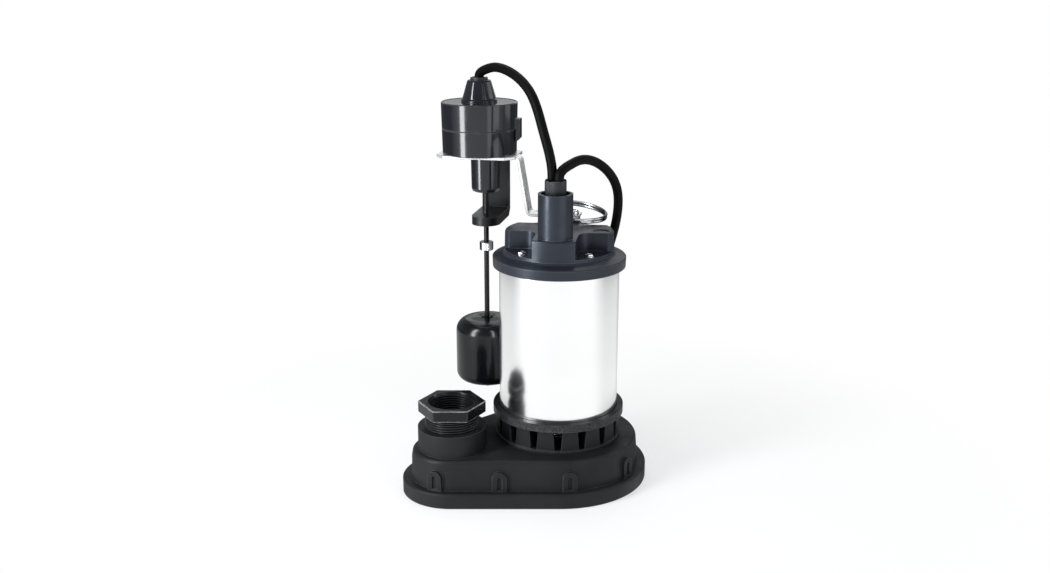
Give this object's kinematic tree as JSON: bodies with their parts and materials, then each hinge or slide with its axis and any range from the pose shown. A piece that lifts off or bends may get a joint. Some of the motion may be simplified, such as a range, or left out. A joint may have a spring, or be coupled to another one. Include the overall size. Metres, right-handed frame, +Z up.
{
  "type": "submersible sump pump",
  "caption": "Submersible sump pump: stainless motor shell over a black volute base with a threaded discharge, slotted intake and a vertical float switch on a side bracket.",
  "frame": {"origin": "the motor shaft's axis at the underside of the base, which is the ground", "axes": "+Z up along the shaft and out of the discharge, -X from the shaft towards the discharge"},
  "size_m": [0.2273, 0.2054, 0.3701],
  "materials": {
    "base_plastic": "matte black moulding with a faint grain",
    "seal_rubber": "black nitrile",
    "bright_steel": "bright zinc-plated or stainless fastener",
    "bushing_plastic": "glossy black",
    "cast_flange": "black coating over a coarse cast surface",
    "stainless_shell": "bright drawn stainless, nearly a mirror",
    "seal_ceramic": "white ceramic",
    "bearing_steel": "ground steel",
    "lamination": "stacked electrical steel",
    "cast_aluminium": "as cast",
    "copper": "varnished copper wire",
    "capacitor_can": "drawn can",
    "impeller_plastic": "glass-filled nylon",
    "cap_plastic": "satin blue-grey charcoal moulding",
    "gland_plastic": "ribbed nylon",
    "cord_rubber": "matte black cord jacket",
    "brass_blades": "stamped brass",
    "polished_strip": "polished stainless",
    "switch_plastic": "glossy dark grey moulding",
    "guide_plastic": "black moulding",
    "rod_black": "black coated rod",
    "float_plastic": "glossy black blow-moulded float",
    "button_red": "small plunger"
  },
  "bodies": {
    "pump_body": {"volute_base": "base_plastic", "bottom_cover": "base_plastic", "bottom_cover_gasket": "seal_rubber", "bottom_cover_screws": "bright_steel", "discharge_bushing": "bushing_plastic", "intake_strainer": "base_plastic", "lower_motor_housing": "cast_flange", "housing_screws": "bright_steel", "motor_shell": "stainless_shell", "shell_lower_ring": "seal_rubber", "shell_upper_ring": "seal_rubber", "seal_seat": "seal_ceramic", "lip_seal": "seal_rubber", "lower_bearing_outer_race": "bearing_steel", "upper_bearing_outer_race": "bearing_steel", "stator_core": "lamination", "stator_windings": "copper", "upper_bearing_bracket": "cast_aluminium", "run_capacitor": "capacitor_can", "thermal_protector": "switch_plastic", "top_cap": "cap_plastic", "tie_bolts": "bright_steel", "cord_gland_nut": "gland_plastic", "cord_grommet": "seal_rubber", "switch_cord": "cord_rubber", "power_cord": "cord_rubber", "plug_body": "cord_rubber", "plug_blades": "brass_blades", "switch_bracket": "polished_strip", "bracket_screws": "bright_steel", "switch_mount_screws": "bright_steel", "switch_lower_case": "switch_plastic", "switch_upper_case": "switch_plastic", "switch_cover": "switch_plastic", "switch_gland": "switch_plastic", "switch_gland_collar": "gland_plastic", "switch_neck": "switch_plastic", "float_guide": "guide_plastic", "microswitch_body": "switch_plastic"},
    "rotor": {"shaft": "bearing_steel", "rotor_core": "lamination", "rotor_cage": "cast_aluminium", "lower_bearing_inner_race": "bearing_steel", "upper_bearing_inner_race": "bearing_steel", "seal_head": "seal_rubber", "seal_spring": "bright_steel", "impeller": "impeller_plastic", "impeller_nut": "bright_steel"},
    "lower_ball_set": {"lower_bearing_balls": "bearing_steel"},
    "upper_ball_set": {"upper_bearing_balls": "bearing_steel"},
    "rod_group": {"float_rod": "rod_black", "rod_stop_collar": "bright_steel", "rod_end_stop": "rod_black", "rod_plunger": "rod_black"},
    "float_body": {"float": "float_plastic"},
    "switch_lever": {"microswitch_lever": "polished_strip"},
    "switch_button": {"microswitch_button": "button_red"},
    "carry_ring_body": {"carry_ring": "bright_steel"}
  },
  "joints": [
    {"name": "shaft_spin", "type": "hinge", "parent": "pump_body", "child": "rotor", "pos_m": [0, 0, 0.1], "axis": [0, 0, 1], "continuous": true},
    {"name": "lower_balls_roll", "type": "hinge", "parent": "pump_body", "child": "lower_ball_set", "pos_m": [0, 0, 0.075], "axis": [0, 0, 1], "continuous": true},
    {"name": "upper_balls_roll", "type": "hinge", "parent": "pump_body", "child": "upper_ball_set", "pos_m": [0, 0, 0.183], "axis": [0, 0, 1], "continuous": true},
    {"name": "rod_lift", "type": "slide", "parent": "pump_body", "child": "rod_group", "axis": [0, 0, 1], "range_m": [0, 0.005]},
    {"name": "float_rise", "type": "slide", "parent": "rod_group", "child": "float_body", "axis": [0, 0, 1], "range_m": [0, 0.0655]},
    {"name": "lever_tip", "type": "hinge", "parent": "pump_body", "child": "switch_lever", "pos_m": [-0.0236, 0.06934, 0.3013], "axis": [0.5344, 0.8453, 0], "range_deg": [0, 14.4]},
    {"name": "button_press", "type": "slide", "parent": "pump_body", "child": "switch_button", "axis": [0, 0, 1], "range_m": [0, 0.0011]},
    {"name": "ring_swing", "type": "hinge", "parent": "pump_body", "child": "carry_ring_body", "pos_m": [0.00411, 0.0284, 0.23737], "axis": [0.2766, -0.952, -0.1308], "range_deg": [0, 80]}
  ],
  "couplings": [
    {"joint": "lower_balls_roll", "follows": "shaft_spin", "ratio": 0.392},
    {"joint": "upper_balls_roll", "follows": "shaft_spin", "ratio": 0.392},
    {"joint": "lever_tip", "follows": "rod_lift", "rad_per_m": 50},
    {"joint": "button_press", "follows": "rod_lift", "ratio": 0.2}
  ]
}
